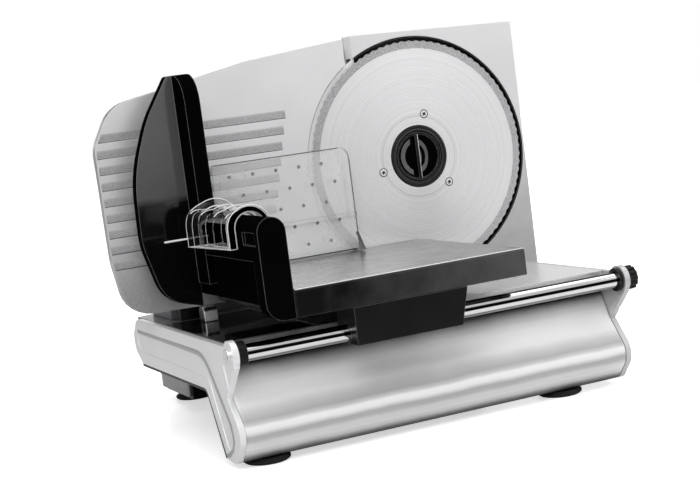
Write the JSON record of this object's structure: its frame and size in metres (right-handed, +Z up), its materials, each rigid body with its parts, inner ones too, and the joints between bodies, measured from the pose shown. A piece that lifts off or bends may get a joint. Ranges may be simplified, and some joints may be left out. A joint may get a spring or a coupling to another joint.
{
  "type": "deli meat slicer",
  "caption": "Electric food slicer: round serrated blade in a silver housing, sliding carriage with fence and clear pusher on a chrome front rail, adjustable thickness plate.",
  "frame": {"origin": "middle of the footprint's bounding box, on the ground under the feet", "axes": "+X along the carriage travel from the thickness plate to the blade, +Y to the back, +Z up"},
  "size_m": [0.3689, 0.353, 0.294],
  "materials": {
    "silver_paint": "satin silver paint",
    "housing_steel": "fine brushed sheet",
    "blade_steel": "spun bright, matte ground edge",
    "plate_steel": "brushed along its length",
    "gauge_metal": "fine satin, embossed",
    "rail_chrome": "polished",
    "bolt_steel": "plain machined",
    "black_gloss": "gloss black",
    "black_satin": "satin black",
    "deck_black": "mirror gloss black",
    "grey_plastic": "satin grey",
    "nylon": "natural nylon",
    "clear_plastic": "clear moulded plastic",
    "foot_rubber": "matte black",
    "bronze": "sintered bronze",
    "red_button": "gloss red",
    "motor_iron": "lacquered laminations"
  },
  "bodies": {
    "base": {"front_panel": "silver_paint", "left_end_cap": "silver_paint", "right_end_cap": "silver_paint", "deck_cover": "silver_paint", "deck_inlay": "deck_black", "bottom_pan": "black_satin", "feet": "foot_rubber", "foot_screws": "bolt_steel", "guide_rail": "rail_chrome", "rail_bumpers": "black_satin", "rail_screw": "bolt_steel", "blade_housing": "housing_steel", "blade_well": "black_satin", "motor_housing": "silver_paint", "housing_screws": "bolt_steel", "gearbox_front": "grey_plastic", "gearbox_rear": "grey_plastic", "shaft_bearings": "bolt_steel", "motor_stator": "motor_iron", "motor_bearing": "grey_plastic", "idler_pin": "bolt_steel", "switch_body": "black_satin", "cord_gland": "foot_rubber", "guide_housing": "grey_plastic", "guide_bushes": "bronze", "stop_block": "bolt_steel"},
    "rail_knob": {"rail_knob": "black_satin"},
    "blade": {"blade_disc": "blade_steel", "blade_screws": "bolt_steel", "blade_flange": "black_satin", "hub_ring": "black_satin", "blade_shaft": "bolt_steel", "drive_gear": "nylon"},
    "hub_lock": {"hub_grip": "black_satin"},
    "idler": {"idler_gear": "nylon"},
    "rotor": {"motor_pinion": "bolt_steel", "motor_rotor": "motor_iron", "cooling_fan": "black_satin"},
    "gauge": {"thickness_plate": "gauge_metal", "plate_carrier": "black_satin", "guide_rods": "rail_chrome"},
    "dial": {"thickness_dial": "black_satin", "dial_screw": "bolt_steel"},
    "button": {"power_button": "red_button"},
    "carriage": {"tray_frame": "black_satin", "tray_plate": "plate_steel", "fence": "black_gloss", "hand_guard": "black_gloss", "slide_foot": "black_satin", "slide_bushes": "nylon", "tray_skid": "black_satin"},
    "pusher": {"pusher_plate": "clear_plastic", "pusher_grip": "clear_plastic"}
  },
  "joints": [
    {"name": "blade_spin", "type": "hinge", "parent": "base", "child": "blade", "pos_m": [0.0845, -0.0085, 0.19], "axis": [0, 1, 0], "continuous": true},
    {"name": "idler_spin", "type": "hinge", "parent": "base", "child": "idler", "pos_m": [0.11632, 0.0215, 0.15818], "axis": [0, 1, 0], "continuous": true},
    {"name": "motor_spin", "type": "hinge", "parent": "base", "child": "rotor", "pos_m": [0.10856, 0.0515, 0.1292], "axis": [0, 1, 0], "continuous": true},
    {"name": "hub_lock_turn", "type": "hinge", "parent": "blade", "child": "hub_lock", "pos_m": [0.0845, -0.0085, 0.19], "axis": [0, 1, 0], "range_deg": [0, 90]},
    {"name": "dial_turn", "type": "hinge", "parent": "base", "child": "dial", "pos_m": [-0.0795, 0.0715, 0.135], "axis": [0, 1, 0], "range_deg": [0, 300]},
    {"name": "gauge_slide", "type": "slide", "parent": "base", "child": "gauge", "axis": [0, 1, 0], "range_m": [0, 0.015]},
    {"name": "carriage_slide", "type": "slide", "parent": "base", "child": "carriage", "axis": [1, 0, 0], "range_m": [-0.066, 0.13]},
    {"name": "pusher_slide", "type": "slide", "parent": "carriage", "child": "pusher", "axis": [0, -1, 0], "range_m": [0, 0.075]},
    {"name": "rail_knob_turn", "type": "hinge", "parent": "base", "child": "rail_knob", "pos_m": [0.1695, -0.1595, 0.0832], "axis": [1, 0, 0], "continuous": true},
    {"name": "button_press", "type": "slide", "parent": "base", "child": "button", "axis": [0, 0, -1], "range_m": [0, 0.002], "stiffness_N_per_m": 500, "springref_m": -0.002}
  ],
  "couplings": [
    {"joint": "idler_spin", "follows": "blade_spin", "ratio": -5},
    {"joint": "motor_spin", "follows": "blade_spin", "ratio": 20},
    {"joint": "dial_turn", "follows": "gauge_slide", "rad_per_m": 349.06}
  ]
}
